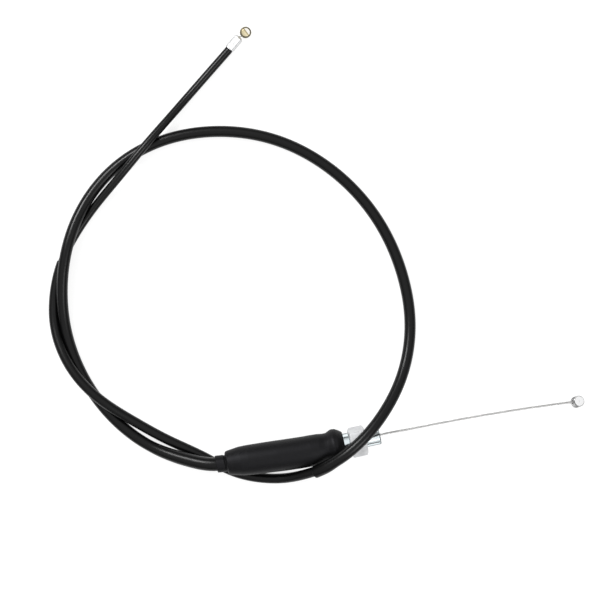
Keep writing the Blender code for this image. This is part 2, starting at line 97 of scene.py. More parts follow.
ROUTE = [
    (-117.3, 78.5, 8.2),
    (-134.9, 57.8, 3.9),
    (-145.7, 42.0, 2.6),
    (-154.1, 24.9, 3.2),
    (-158.8, 5.3, 3.5),
    (-159.0, -14.4, 4.1),
    (-153.5, -33.0, 7.5),
    (-143.0, -49.9, 10.3),
    (-129.5, -63.2, 10.8),
    (-107.7, -78.2, 5.6),
    (-86.0, -90.4, 3.4),
    (-61.6, -101.9, 3.4),
    (-44.3, -110.6, 3.35),
    (-27.4, -114.9, 3.4),
    (-10.8, -115.1, 6.2),
    (3.8, -111.5, 14.2),
    (16.4, -106.1, 21.6),
    (27.25, -99.2, 25.3),
    (39.35, -88.8, 25.6),
    (52.6, -72.95, 21.0),
    (66.3, -46.4, 11.0),
    (71.2, -14.8, 4.7),
    (67.0, 13.6, 3.75),
    (50.6, 51.3, 3.75),
    (21.4, 83.5, 3.75),
    (-16.9, 103.95, 3.75),
    (-56.0, 109.1, 3.75),
    (-90.4, 102.7, 3.75),
    (-117.0, 87.9, 3.8),
    (-139.4, 61.0, 7.0),
    (-149.8, 33.4, 10.3),
    (-153.4, 4.9, 7.9),
    (-150.6, -23.0, 4.15),
    (-138.6, -52.8, 3.85),
    (-116.0, -80.9, 3.8),
    (-93.5, -96.0, 5.2),
    (-72.1, -102.9, 10.2),
]
SHORT_SLEEVE_FROM = (-154.3, 24.5, 3.2)
SLEEVE_STEP = (9.7, -109.1, 17.4)
WIRE_ROUTE = [
    (69.5, -83.35, 8.5),
    (91.2, -79.25, 7.3),
    (116.2, -74.8, 6.6),
    (136.1, -71.55, 6.2),
    (150.9, -69.3, 5.9),
    (165.8, -67.3, 5.4),
    (173.9, -66.3, 4.9),
]


def place(x, y, z):
    return Vector(((x - ORIGIN[0]) * MM, (y - ORIGIN[1]) * MM, z * MM))


class Smooth:
    """A natural cubic through the points, with its length measured along it."""

    def __init__(self, points):
        p = np.array(points, float)
        d = np.concatenate([[0.0], np.cumsum(np.linalg.norm(np.diff(p, axis=0), axis=1))])
        h, n = np.diff(d), len(p)
        a, b = np.zeros((n, n)), np.zeros((n, 3))
        a[0, 0] = a[-1, -1] = 1.0
        for i in range(1, n - 1):
            a[i, i - 1], a[i, i], a[i, i + 1] = h[i - 1], 2 * (h[i - 1] + h[i]), h[i]
            b[i] = 6 * ((p[i + 1] - p[i]) / h[i] - (p[i] - p[i - 1]) / h[i - 1])
        m = np.linalg.solve(a, b)
        t = np.linspace(0.0, d[-1], 6001)
        k = np.clip(np.searchsorted(d, t) - 1, 0, n - 2)
        u, v, w = (d[k + 1] - t)[:, None], (t - d[k])[:, None], h[k][:, None]
        self.dense = ((m[k] * u ** 3 + m[k + 1] * v ** 3) / (6 * w)
                      + (p[k] / w - m[k] * w / 6) * u + (p[k + 1] / w - m[k + 1] * w / 6) * v)
        self.s = np.concatenate([[0.0], np.cumsum(np.linalg.norm(np.diff(self.dense, axis=0), axis=1))])
        self.length = float(self.s[-1])

    def at(self, s):
        return tuple(float(np.interp(s, self.s, self.dense[:, i])) for i in range(3))

    def nearest(self, point, low=0.0, high=1e9):
        away = np.linalg.norm(self.dense - np.array(point, float), axis=1)
        away[(self.s < low) | (self.s > high)] = 1e9
        return float(self.s[int(away.argmin())])


turn, rise = math.radians(AXIS_TURN), math.radians(AXIS_RISE)
AXIS = Vector((-math.cos(turn) * math.cos(rise), -math.sin(turn) * math.cos(rise), math.sin(rise)))
SIDE = Vector((AXIS.y, -AXIS.x, 0.0)).normalized()
MOUTH = Vector(NUT_CENTRE) - AXIS * NUT_T


def on_axis(t, side=0.0, up=0.0):
    return MOUTH + AXIS * t + SIDE * side + AXIS.cross(SIDE) * up


def boot_bend(t):
    lean = BEND_SLOPE * math.sqrt(max(0.0, t - BEND_FROM) ** 2 + 16.0) - BEND_SLOPE * 4.0
    return BOOT_ASIDE + lean + 0.0038 * max(0.0, t - 76.0) ** 2


def boot_centre(t):
    return on_axis(t, boot_bend(t))


nose, far = Vector(NOSE), Vector(STRAIGHT_TO)
PULL = Vector((0.6563, 0.7544, 0.0)).normalized()
straight = [nose - PULL * d for d in (1.6, 17.0, 33.0, 48.0)] + [nose - PULL * 70.0 + Vector((0.26, -0.35, 3.0)), far]
neck = [boot_centre(t) for t in (BOOT_LENGTH - 0.5, 78.0)]
inside = [on_axis(66.0, 1.85), on_axis(57.5, 0.55), on_axis(50.0), on_axis(43.0), on_axis(36.6)]
casing = Smooth([tuple(p) for p in straight] + ROUTE + [tuple(p) for p in neck + inside])

JACKET_FROM = FERRULE_LENGTH + 0.3 - 1.6
JACKET_TO = casing.nearest(on_axis(49.9), casing.length - 60.0)
SHORT_FROM = casing.nearest(SHORT_SLEEVE_FROM, 100.0, 260.0)
STEP = casing.nearest(SLEEVE_STEP, 380.0, 500.0)
SHORT_TO = STEP + 9.0
NECK = casing.nearest(boot_centre(BOOT_LENGTH), casing.length - 90.0)
FLARE_FROM = NECK - 46.0
LONG_TO = casing.nearest(on_axis(70.0, 2.0), casing.length - 60.0)

steel_at = Vector(STEEL_NIPPLE_AT)
last = Vector(WIRE_ROUTE[-1])
heading = Vector((steel_at.x - last.x, steel_at.y - last.y, 0.0)).normalized()
tilt = math.radians(STEEL_NIPPLE_LEAN)
ENTRY = heading * math.cos(tilt) - Vector((0, 0, 1)) * math.sin(tilt)
STEEL_UP = ENTRY.cross(Vector((0, 0, 1)).cross(ENTRY)).normalized()
wire_out = (on_axis(TIP_T, WIRE_OFFSET_AT_TIP) - on_axis(35.6)).normalized()
bare = Smooth([tuple(on_axis(35.6)), tuple(on_axis(35.6) + wire_out * 30.0), tuple(on_axis(TIP_T, WIRE_OFFSET_AT_TIP)),
               tuple(on_axis(TIP_T, WIRE_OFFSET_AT_TIP) + Vector((9.0, 1.76, -0.4)))] + WIRE_ROUTE
              + [tuple(steel_at - ENTRY * 3.2), tuple(steel_at + ENTRY * 3.2)])
TIP_S = bare.nearest(on_axis(TIP_T, WIRE_OFFSET_AT_TIP))


# ------------------------------------------------------------------ mesh helpers
def new_mesh(name, verts, faces, mat, rolled=None, extra=None, sharp=None):
    """A mesh in metres. rolled holds, for each point, where it lies on the unrolled-and-rewound surface
    (cosine, sine, and length along), so that a finish can run along or round the piece."""
    mesh = bpy.data.meshes.new(name)
    mesh.from_pydata([tuple(v) for v in verts], [], faces)
    mesh.update()
    if rolled is not None:
        a = mesh.attributes.new("rolled", "FLOAT_VECTOR", "POINT")
        a.data.foreach_set("vector", np.asarray(rolled, np.float32).ravel())
    for key, values in (extra or {}).items():
        a = mesh.attributes.new(key, "FLOAT", "POINT")
        a.data.foreach_set("value", np.asarray(values, np.float32))
    mesh.materials.append(mat)
    mesh.shade_smooth()
    if sharp:
        mesh.set_sharp_from_angle(angle=math.radians(sharp))
    obj = bpy.data.objects.new(name, mesh)
    scene.collection.objects.link(obj)
    return obj


def frames_along(points):
    """Tangents and two normals at each point, turned as little as possible from one to the next."""
    p = np.asarray(points, float)
    t = np.gradient(p, axis=0)
    t /= np.linalg.norm(t, axis=1)[:, None]
    n = np.zeros_like(p)
    first = np.array([0.0, 0.0, 1.0]) - t[0] * t[0][2]
    n[0] = first / np.linalg.norm(first)
    for i in range(1, len(p)):
        v = n[i - 1] - t[i] * float(np.dot(n[i - 1], t[i]))
        n[i] = v / np.linalg.norm(v)
    return t, n, np.cross(t, n)


def ring_faces(a, b, sides):
    return [(a + j, a + (j + 1) % sides, b + (j + 1) % sides, b + j) for j in range(sides)]


def tube(name, curve, stations, sides, mat, wobble=None, shift=None):
    """A closed tube skin. stations is a loop of (length along the curve, radius), out along the outside and
    back along the bore. shift gives an offset in the layout, for a sleeve that sits to one side."""
    s = np.array([a for a, _ in stations])
    r = np.array([b for _, b in stations])
    lo, hi = float(s.min()), float(s.max())
    grid = np.linspace(lo, hi, max(8, int((hi - lo) / 0.8)))
    centre = np.array([curve.at(x) for x in grid])
    _, n, b = frames_along(centre)
    angle = np.linspace(0, 2 * math.pi, sides, endpoint=False)
    verts, rolled = [], []
    for x, radius in zip(s, r):
        c = np.array([np.interp(x, grid, centre[:, i]) for i in range(3)])
        nn = np.array([np.interp(x, grid, n[:, i]) for i in range(3)])
        bb = np.array([np.interp(x, grid, b[:, i]) for i in range(3)])
        if shift is not None:
            c = c + np.array(shift(x))
        rr = radius * (1.0 + (wobble(x, angle) if wobble is not None else 0.0 * angle))
        ring = c + np.outer(rr * np.cos(angle), nn) + np.outer(rr * np.sin(angle), bb)
        verts += [place(*q) for q in ring]
        rolled += [(radius * math.cos(q) * MM, radius * math.sin(q) * MM, x * MM) for q in angle]
    faces = []
    for i in range(len(s)):
        faces += ring_faces(i * sides, ((i + 1) % len(s)) * sides, sides)
    obj = new_mesh(name, verts, faces, mat, rolled)
    outward(obj)
    return obj


def outward(obj):
    """Faces look out of the solid."""
    bm = bmesh.new()
    bm.from_mesh(obj.data)
    bmesh.ops.recalc_face_normals(bm, faces=bm.faces)
    if bm.calc_volume(signed=True) < 0:
        bmesh.ops.reverse_faces(bm, faces=bm.faces)
    bm.to_mesh(obj.data)
    bm.free()


def rounded(points, radius=0.25, steps=4, closed=False):
    """A profile with its corners rounded. A point is (r, h) or (r, h, radius of its own)."""
    n = len(points)
    out = []
    for i, q in enumerate(points):
        p = np.array(q[:2], float)
        own = q[2] if len(q) > 2 else radius
        if (not closed and i in (0, n - 1)) or own <= 0.0:
            out.append(tuple(p))
            continue
        a, b = np.array(points[i - 1][:2], float), np.array(points[(i + 1) % n][:2], float)
        da, db = a - p, b - p
        la, lb = np.linalg.norm(da), np.linalg.norm(db)
        if la < 1e-9 or lb < 1e-9:
            out.append(tuple(p))
            continue
        da, db = da / la, db / lb
        half = math.acos(max(-1.0, min(1.0, float(np.dot(da, db))))) / 2
        reach = min(own / max(math.tan(half), 1e-3), 0.42 * la, 0.42 * lb)
        p0, p2 = p + da * reach, p + db * reach
        out.append(tuple(p0 + da * min(0.06 * la, 0.08)))
        for k in range(steps + 1):
            u = k / steps
            out.append(tuple((1 - u) ** 2 * p0 + 2 * u * (1 - u) * p + u ** 2 * p2))
        out.append(tuple(p2 + db * min(0.06 * lb, 0.08)))
    return out


def spread_out(points, longest):
    """Long straight stretches of a profile are cut up, so that bends and finishes have points to hold on to."""
    out = [points[0]]
    for a, b in zip(points, points[1:]):
        n = max(1, int(math.ceil(math.hypot(b[0] - a[0], b[1] - a[1]) / longest)))
        out += [(a[0] + (b[0] - a[0]) * (k + 1) / n, a[1] + (b[1] - a[1]) * (k + 1) / n) for k in range(n)]
    return out


def axis_frame(z_axis, x_hint, at):
    z = Vector(z_axis).normalized()
    x = Vector(x_hint)
    x = (x - z * x.dot(z)).normalized()
    m = Matrix((x, z.cross(x), z)).transposed().to_4x4()
    m.translation = at
    return m


def lathe(name, profile, matrix, steps, mat, reshape=None, closed=False, sharp=None):
    """A profile of (radius, height) in mm, spun about the matrix's Z. reshape(angle, r, h) returns the
    point's own (x, y, z) in mm where the piece isn't simply round."""
    verts, rolled, rings = [], [], []
    angle = [2 * math.pi * j / steps for j in range(steps)]
    for r, h in profile:
        if r < 1e-6:
            x, y, z = reshape(0.0, 0.0, h) if reshape else (0.0, 0.0, h)
            rings.append((len(verts), 1))
            verts.append(matrix @ (Vector((x, y, z)) * MM))
            rolled.append((0.0, 0.0, h * MM))
            continue
        rings.append((len(verts), steps))
        for q in angle:
            x, y, z = reshape(q, r, h) if reshape else (r * math.cos(q), r * math.sin(q), h)
            verts.append(matrix @ (Vector((x, y, z)) * MM))
            rolled.append((r * math.cos(q) * MM, r * math.sin(q) * MM, h * MM))
    faces = []
    pairs = list(zip(rings, rings[1:])) + ([(rings[-1], rings[0])] if closed else [])
    for (a, na), (b, nb) in pairs:
        if na == steps and nb == steps:
            faces += ring_faces(a, b, steps)
        elif na == 1 and nb == steps:
            faces += [(a, b + j, b + (j + 1) % steps) for j in range(steps)]
        elif na == steps and nb == 1:
            faces += [(a + (j + 1) % steps, a + j, b) for j in range(steps)]
    obj = new_mesh(name, verts, faces, mat, rolled, sharp=sharp)
    outward(obj)
    return obj


def hexagon(flats, turn_deg, corner_round=0.35):
    """The radius of a hexagonal bar at an angle, its corners a little rounded."""
    apothem = flats / 2

    def radius(q):
        # phi is 0 at a corner and pi/6 at the middle of a flat
        phi = (q - math.radians(turn_deg) + math.pi / 6) % (math.pi / 3) - math.pi / 6
        r = apothem / math.cos(math.pi / 6 - abs(phi))
        return r - corner_round * math.exp(-(abs(phi) / 0.055) ** 2) * 0.6
    return radius


# ------------------------------------------------------------------ materials
def fresh(name):
    m = bpy.data.materials.new(name)
    m.use_nodes = True
    nodes, links = m.node_tree.nodes, m.node_tree.links
    return m, nodes, links, nodes["Principled BSDF"]


def rolled_coords(nodes, links, scale):
    a = nodes.new("ShaderNodeAttribute")
    a.attribute_name = "rolled"
    mapping = nodes.new("ShaderNodeMapping")
    mapping.inputs["Scale"].default_value = scale
    links.new(a.outputs["Vector"], mapping.inputs["Vector"])
    return mapping.outputs["Vector"]


def object_coords(nodes, links, scale=(1, 1, 1)):
    c = nodes.new("ShaderNodeTexCoord")
    mapping = nodes.new("ShaderNodeMapping")
    mapping.inputs["Scale"].default_value = scale
    links.new(c.outputs["Object"], mapping.inputs["Vector"])
    return mapping.outputs["Vector"]


def noise(nodes, links, vector, scale, detail=3.0, rough=0.5):
    n = nodes.new("ShaderNodeTexNoise")
    n.inputs["Scale"].default_value = scale
    n.inputs["Detail"].default_value = detail
    n.inputs["Roughness"].default_value = rough
    links.new(vector, n.inputs["Vector"])
    return n.outputs["Fac"]


def ramp(nodes, links, fac, stops):
    r = nodes.new("ShaderNodeValToRGB")
    while len(r.color_ramp.elements) < len(stops):
        r.color_ramp.elements.new(0.5)
    for e, (at, colour) in zip(r.color_ramp.elements, stops):
        e.position = at
        e.color = (*colour, 1.0)
    links.new(fac, r.inputs["Fac"])
    return r.outputs["Color"]


def between(nodes, links, fac, low, high, a=0.3, b=0.7):
    r = nodes.new("ShaderNodeMapRange")
    r.inputs["From Min"].default_value = a
    r.inputs["From Max"].default_value = b
    r.inputs["To Min"].default_value = low
    r.inputs["To Max"].default_value = high
    links.new(fac, r.inputs["Value"])
    return r.outputs["Result"]


def bumps(nodes, links, shader, heights):
    """heights is a list of (height socket, strength, distance in metres)."""
    normal = None
    for h, strength, distance in heights:
        b = nodes.new("ShaderNodeBump")
        b.inputs["Strength"].default_value = strength
        b.inputs["Distance"].default_value = distance
        links.new(h, b.inputs["Height"])
        if normal is not None:
            links.new(normal, b.inputs["Normal"])
        normal = b.outputs["Normal"]
    links.new(normal, shader.inputs["Normal"])


def black_pvc(name, dark, light, rough, specular, streak=0.35):
    """Extruded PVC: faint die lines along it, slow changes of gloss, and a fine skin."""
    m, nodes, links, shader = fresh(name)
    along = noise(nodes, links, rolled_coords(nodes, links, (2600.0, 2600.0, 14.0)), 1.0, 4.0, 0.6)
    slow = noise(nodes, links, object_coords(nodes, links), 38.0, 3.0, 0.5)
    skin = noise(nodes, links, object_coords(nodes, links), 5200.0, 2.0, 0.5)
    links.new(ramp(nodes, links, along, [(0.3, dark), (0.7, light)]), shader.inputs["Base Color"])
    links.new(between(nodes, links, slow, rough[0], rough[1]), shader.inputs["Roughness"])
    shader.inputs["Specular IOR Level"].default_value = specular
    shader.inputs["IOR"].default_value = 1.5
    bumps(nodes, links, shader, [(along, streak, 0.00003), (skin, 0.18, 0.00002)])
    return m


def moulded_rubber(name):
    m, nodes, links, shader = fresh(name)
    slow = noise(nodes, links, object_coords(nodes, links), 55.0, 4.0, 0.55)
    skin = noise(nodes, links, object_coords(nodes, links), 2600.0, 3.0, 0.6)
    dust = noise(nodes, links, object_coords(nodes, links, (1.0, 1.0, 1.0)), 420.0, 5.0, 0.7)
    links.new(ramp(nodes, links, dust, [(0.35, (0.0012, 0.0012, 0.0013)), (0.62, (0.0024, 0.0024, 0.0025)),
                                        (0.80, (0.0060, 0.0060, 0.0060))]), shader.inputs["Base Color"])
    links.new(between(nodes, links, slow, 0.47, 0.57), shader.inputs["Roughness"])
    shader.inputs["Specular IOR Level"].default_value = 0.19
    shader.inputs["Specular Tint"].default_value = (0.93, 0.93, 1.0, 1.0)
    shader.inputs["IOR"].default_value = 1.5
    bumps(nodes, links, shader, [(slow, 0.10, 0.0006), (skin, 0.28, 0.00004)])
    return m


def plated(name, pale, deep, rough, turned=0.12, speckle=0.05, grain=7000.0, edge=0.05, metal=1.0):
    """Zinc plate over a turned surface: fine rings round it, a faint blue cast that comes and goes."""
    m, nodes, links, shader = fresh(name)
    rings = noise(nodes, links, rolled_coords(nodes, links, (60.0, 60.0, grain)), 1.0, 3.0, 0.6)
    cast = noise(nodes, links, object_coords(nodes, links), 210.0, 3.0, 0.5)
    specks = noise(nodes, links, object_coords(nodes, links), 3400.0, 3.0, 0.7)
    # painted shade: a point attribute mixes the finish toward near-black in holes, bevels, walls, scores and chamfers
    hole = nodes.new("ShaderNodeAttribute")
    hole.attribute_name = "hollow"
    shade_mix = nodes.new("ShaderNodeMix")
    shade_mix.data_type = "RGBA"
    links.new(hole.outputs["Fac"], shade_mix.inputs["Factor"])
    links.new(ramp(nodes, links, cast, [(0.32, deep), (0.66, pale)]), shade_mix.inputs["A"])
    shade_mix.inputs["B"].default_value = (0.03, 0.028, 0.026, 1.0)
    # painted highlight: a second point attribute turns the finish near-white where it is set
    highlight_attr = nodes.new("ShaderNodeAttribute")
    highlight_attr.attribute_name = "painted_highlight"
    bright = nodes.new("ShaderNodeMix")
    bright.data_type = "RGBA"
    links.new(highlight_attr.outputs["Fac"], bright.inputs["Factor"])
    links.new(shade_mix.outputs["Result"], bright.inputs["A"])
    bright.inputs["B"].default_value = (0.97, 0.96, 0.93, 1.0)
    links.new(bright.outputs["Result"], shader.inputs["Base Color"])
    shader.inputs["Metallic"].default_value = metal
    shader.inputs["Specular Tint"].default_value = (edge, edge, edge, 1.0)
    links.new(between(nodes, links, specks, rough[0], rough[1]), shader.inputs["Roughness"])
    bumps(nodes, links, shader, [(rings, turned, 0.00002), (specks, speckle, 0.00002)])
    return m


def strand_steel(name, pale, deep):
    """Drawn steel strands, with painted shade down in the grooves between them."""
    m, nodes, links, shader = fresh(name)
    groove = nodes.new("ShaderNodeAttribute")
    groove.attribute_name = "groove"
    drawn = noise(nodes, links, rolled_coords(nodes, links, (3000.0, 3000.0, 60.0)), 1.0, 3.0, 0.6)
    links.new(ramp(nodes, links, groove.outputs["Fac"], [(0.0, deep), (0.75, pale)]), shader.inputs["Base Color"])
    shader.inputs["Metallic"].default_value = 0.95
    links.new(between(nodes, links, drawn, 0.26, 0.42), shader.inputs["Roughness"])
    bumps(nodes, links, shader, [(drawn, 0.15, 0.00001)])
    return m


jacket_mat = black_pvc("jacket_pvc", (0.0012, 0.0012, 0.0013), (0.0030, 0.0030, 0.0032), (0.25, 0.33), 0.20)
sleeve_mat = black_pvc("sleeve_pvc", (0.0012, 0.0012, 0.0013), (0.0030, 0.0030, 0.0032), (0.25, 0.33), 0.20)
boot_mat = moulded_rubber("boot_rubber")
zinc_mat = plated("zinc", (0.88, 0.93, 0.945), (0.76, 0.85, 0.88), (0.12, 0.22))
nipple_mat = plated("nipple_zinc", (0.97, 0.972, 0.975), (0.92, 0.923, 0.928), (0.20, 0.30), speckle=0.03)
ferrule_mat = plated("ferrule_zinc", (0.80, 0.805, 0.81), (0.73, 0.735, 0.74), (0.36, 0.46), turned=0.04, grain=2500.0,
                     metal=0.8)
frosted_mat = plated("frosted_zinc", (0.70, 0.705, 0.715), (0.57, 0.575, 0.585), (0.46, 0.60), turned=0.03, speckle=0.35,
                     grain=900.0, metal=0.35)
brass_mat = plated("brass", (0.88, 0.79, 0.54), (0.78, 0.67, 0.40), (0.16, 0.26), turned=0.10, speckle=0.06)
wire_mat = strand_steel("wire_steel", (0.53, 0.526, 0.522), (0.11, 0.109, 0.108))
conduit_mat = plated("conduit_steel", (0.56, 0.56, 0.57), (0.44, 0.44, 0.45), (0.30, 0.45), turned=0.5, grain=900.0)
liner_mat, nodes_, links_, shader_ = fresh("liner_plastic")
links_.new(ramp(nodes_, links_, noise(nodes_, links_, object_coords(nodes_, links_), 300.0),
                [(0.3, (0.82, 0.82, 0.79)), (0.7, (0.88, 0.88, 0.86))]), shader_.inputs["Base Color"])
shader_.inputs["Roughness"].default_value = 0.35

# ------------------------------------------------------------------ cords: the casing with its two sleeves
def long_radius(s):
    lip = np.interp(s, [STEP, SHORT_TO + 0.5, STEP + 16.0], [LONG_SLEEVE_LIP_R, LONG_SLEEVE_LIP_R, LONG_SLEEVE_R])
    flare = np.interp(s, [FLARE_FROM, FLARE_FROM + 22.0, LONG_TO], [LONG_SLEEVE_R, LONG_SLEEVE_FLARE_R - 0.15,
                                                                 LONG_SLEEVE_FLARE_R])
    return float(max(lip, flare))


def out_and_back(low, high, outer, inner, pitch, round_low=0.2, round_high=0.2):
    """The loop of stations of a hollow tube, with its two rims rounded."""
    n = max(4, int((high - low) / pitch))
    marks = np.linspace(low + round_low * 1.6, high - round_high * 1.6, n)
    loop = [(low + round_low * 0.9, inner(low) + 0.02), (low + round_low * 0.15, inner(low) + round_low * 0.55),
            (low, (inner(low) + outer(low)) / 2), (low + round_low * 0.12, outer(low) - round_low * 0.55),
            (low + round_low * 0.45, outer(low) - round_low * 0.18), (low + round_low, outer(low))]
    loop += [(float(m), outer(float(m))) for m in marks]
    loop += [(high - round_high, outer(high)), (high - round_high * 0.45, outer(high) - round_high * 0.18),
             (high - round_high * 0.12, outer(high) - round_high * 0.55), (high, (inner(high) + outer(high)) / 2),
             (high - round_high * 0.15, inner(high) + round_high * 0.55), (high - round_high * 0.9, inner(high) + 0.02)]
    loop += [(float(m), inner(float(m))) for m in marks[::-1]]
    return loop


SKIN = 0.14                    # the drawn-down plastic stands this much proud of the nominal size


def lip_shift(s):
    """The long sleeve's end hangs a little to one side on the short sleeve."""
    away = max(0.0, 1.0 - (s - STEP) / 16.0)
    return (0.18 * away ** 1.3, -0.42 * away ** 1.3, 0.0)


def lever_shift(s):
    """The jacket isn't quite in line with the ferrule."""
    away = max(0.0, 1.0 - (s - JACKET_FROM) / 90.0)
    return (0.22 * away, -0.18 * away, 0.0)


NEAR_BOOT = NECK + 24.0
jacket = tube("jacket", casing, out_and_back(JACKET_FROM, NEAR_BOOT, lambda s: JACKET_R + SKIN, lambda s: JACKET_R - JACKET_WALL,
                                             1.6, 0.15, 0.1), 28, jacket_mat, shift=lever_shift)
short = tube("short_sleeve_skin", casing, out_and_back(SHORT_FROM, SHORT_TO, lambda s: SHORT_SLEEVE_R + 0.6 * SKIN,
                                                       lambda s: SHORT_SLEEVE_R - 0.3, 1.4, 0.14, 0.1), 32, sleeve_mat)
long = tube("long_sleeve_skin", casing, out_and_back(STEP, LONG_TO, lambda s: long_radius(s) + SKIN, lambda s: long_radius(s) - 0.45, 1.4, 0.2,
                                                     0.1), 36, sleeve_mat, shift=lip_shift)
for piece, node, slot in ((jacket, "casing_jacket", "jacket_pvc"), (short, "short_sleeve", "sleeve_pvc"),
                          (long, "long_sleeve", "sleeve_pvc")):
    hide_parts(node)
    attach(piece, "casing")

# ------------------------------------------------------------------ stranded wire
LOBES, PER_LOBE = 12, 6


def stranded(name, curve, low, high, pitch, lay, mat, shaded_end=0.0):
    """Twelve outer strands that wind round, one turn in lay mm."""
    n = max(4, int((high - low) / pitch))
    marks = np.linspace(low, high, n + 1)
    centre = np.array([curve.at(x) for x in marks])
    _, nn, bb = frames_along(centre)
    a, b = WIRE_R - 0.155, 0.155
    sides = LOBES * PER_LOBE
    lobe, groove = [], []
    for j in range(sides):
        phi = (j % PER_LOBE) / PER_LOBE - 0.5
        ang = phi * 2 * math.pi / LOBES
        rr = a * math.cos(ang) + math.sqrt(max(0.0, b * b - (a * math.sin(ang)) ** 2))
        lobe.append(rr)
        # groove is low down between the strands and high on their crowns; the finish puts painted shade where it is low
        groove.append(min(1.0, (rr - (WIRE_R - 0.17)) / 0.17))
    lobe = np.array(lobe)
    verts, rolled, depth, faces = [], [], [], []
    for i, x in enumerate(marks):
        angle = 2 * math.pi * (np.arange(sides) / sides + x / lay)
        ring = centre[i] + np.outer(lobe * np.cos(angle), nn[i]) + np.outer(lobe * np.sin(angle), bb[i])
        verts += [place(*q) for q in ring]
        flat = 2 * math.pi * np.arange(sides) / sides
        rolled += [(WIRE_R * math.cos(q) * MM, WIRE_R * math.sin(q) * MM, x * MM) for q in flat]
        # painted shade darkens the last stretch, where the strands run into their fitting's hole
        depth += [g * (1.0 if x < high - shaded_end else 0.62) for g in groove]
    for i in range(n):
        faces += ring_faces(i * sides, (i + 1) * sides, sides)
    first, end = len(verts), len(verts) + 1
    verts += [place(*centre[0]), place(*centre[-1])]
    rolled += [(0, 0, low * MM), (0, 0, high * MM)]
    depth += [0.6, 0.6]
    faces += [(first, (j + 1) % sides, j) for j in range(sides)]
    faces += [(end, n * sides + j, n * sides + (j + 1) % sides) for j in range(sides)]
    obj = new_mesh(name, verts, faces, mat, rolled, {"groove": depth})
    outward(obj)
    return obj


WIRE_FROM, WIRE_TO = TIP_S - 4.0, bare.nearest(steel_at - ENTRY * 1.2)
wire = stranded("bare_wire", bare, WIRE_FROM, WIRE_TO, 0.75, 13.0, wire_mat, shaded_end=4.4)
wire_inside = stranded("wire_in_barrel", bare, 0.0, WIRE_FROM, 0.75, 13.0, wire_mat)
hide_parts("carb_wire")
for piece in (wire, wire_inside):
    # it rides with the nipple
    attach(piece, "carb_end")
    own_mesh(piece)

outside = nose + PULL * 0.6
brass_at = Vector((*BRASS_NIPPLE_AT, NOSE[2]))
to_nipple = Vector((brass_at.x - outside.x, brass_at.y - outside.y, 0.0)).normalized()
lever_run = Smooth([casing.at(WIRE_END_LENGTH), casing.at(22.0), casing.at(5.0), tuple(outside),
                    tuple(brass_at - to_nipple * 2.9), tuple(brass_at - to_nipple * 1.0)])
lever_wire = stranded("lever_wire", lever_run, 0.0, lever_run.length, 0.75, 13.0, wire_mat)
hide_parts("throttle_wire_end")
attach(lever_wire, "throttle_end")

# ------------------------------------------------------------------ turned metal ends
adjuster_m = axis_frame(AXIS, SIDE, place(*MOUTH))
lever_m = axis_frame(-PULL, (0, 0, 1), place(*NOSE))
brass_m = axis_frame((0, 0, 1), to_nipple, place(BRASS_NIPPLE_AT[0], BRASS_NIPPLE_AT[1], 0.0))
steel_m = axis_frame(STEEL_UP, ENTRY, place(*steel_at))

ferrule = lathe("ferrule_skin", rounded([
    (CONDUIT_R + 0.2, FERRULE_LENGTH, 0.1), (FERRULE_R - 0.1, FERRULE_LENGTH, 0.12), (FERRULE_R, 8.9, 0.4),
    (FERRULE_R, 1.25, 0.35), (FERRULE_R - 1.15, 0.0, 0.15), (WIRE_R + 0.45, 0.0, 0.12), (WIRE_R + 0.45, 1.3, 0.05),
    (CONDUIT_R + 0.2, 1.3, 0.05)], closed=True), lever_m, 96, ferrule_mat, closed=True)
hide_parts("throttle_end_ferrule")
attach(ferrule, "casing")


def nipple(name, matrix, low, high, bevel, drop, mat, dish, marks, hole_z, hole_r):
    """A short round barrel: bevelled rims, a face with its own shape, and the hole that the wire goes in at,
    on the side of -X. The inside of the hole, the bevel, the side wall and any score are marked with painted shade, so
    that the finish is dark there, and part of the face is marked with a painted highlight, so that it is near-white."""
    profile = spread_out([(0.0, high), (NIPPLE_R - bevel - 0.06, high)], 0.1) + [
        (NIPPLE_R - bevel - 0.02, high - 0.005), (NIPPLE_R - bevel + 0.03, high - 0.03)]
    profile += spread_out([(NIPPLE_R - bevel + 0.08, high - 0.07), (NIPPLE_R - 0.06, high - drop + 0.05)], 0.2)
    profile += [(NIPPLE_R - 0.015, high - drop - 0.01), (NIPPLE_R, high - drop - 0.08)]
    profile += spread_out([(NIPPLE_R, high - drop - 0.12), (NIPPLE_R, low + 0.55)], 0.16)
    profile += [(NIPPLE_R - 0.05, low + 0.4), (NIPPLE_R - 0.45, low + 0.04), (NIPPLE_R - 0.55, low), (0.0, low)]
    hollow, painted_highlight = [], []

    def reshape(q, r, h):
        x, y, z = r * math.cos(q), r * math.sin(q), h
        # the side wall gets a little painted shade and no painted highlight
        dark, highlight_patch = marks.wall, 0.0
        if h > high - 0.001 and r < NIPPLE_R - bevel:
            z -= dish(x, y) * min(1.0, (NIPPLE_R - bevel - r) / 0.12)
            # the face takes its painted shade and painted highlight from marks
            dark, highlight_patch = marks(x, y)
        elif h > high - drop - 0.12:
            # the bevel gets painted shade, a dark ring
            dark = marks.bevel
        # the wire's hole is dented in, and painted shade darkens its inside
        if x < 0 and r > NIPPLE_R - 0.1 and h < high - drop:
            off = math.hypot(y, z - hole_z)
            bored = min(1.0, max(0.0, (hole_r + 0.12 - off) / 0.12))
            x += 1.4 * bored
            dark = max(dark, bored)
        hollow.append(dark)
        painted_highlight.append(highlight_patch)
        return x, y, z
    obj = lathe(name, profile, matrix, 160, mat, reshape)
    for key, values in (("hollow", hollow), ("painted_highlight", painted_highlight)):
        a = obj.data.attributes.new(key, "FLOAT", "POINT")
        a.data.foreach_set("value", np.asarray(values, np.float32))
    return obj


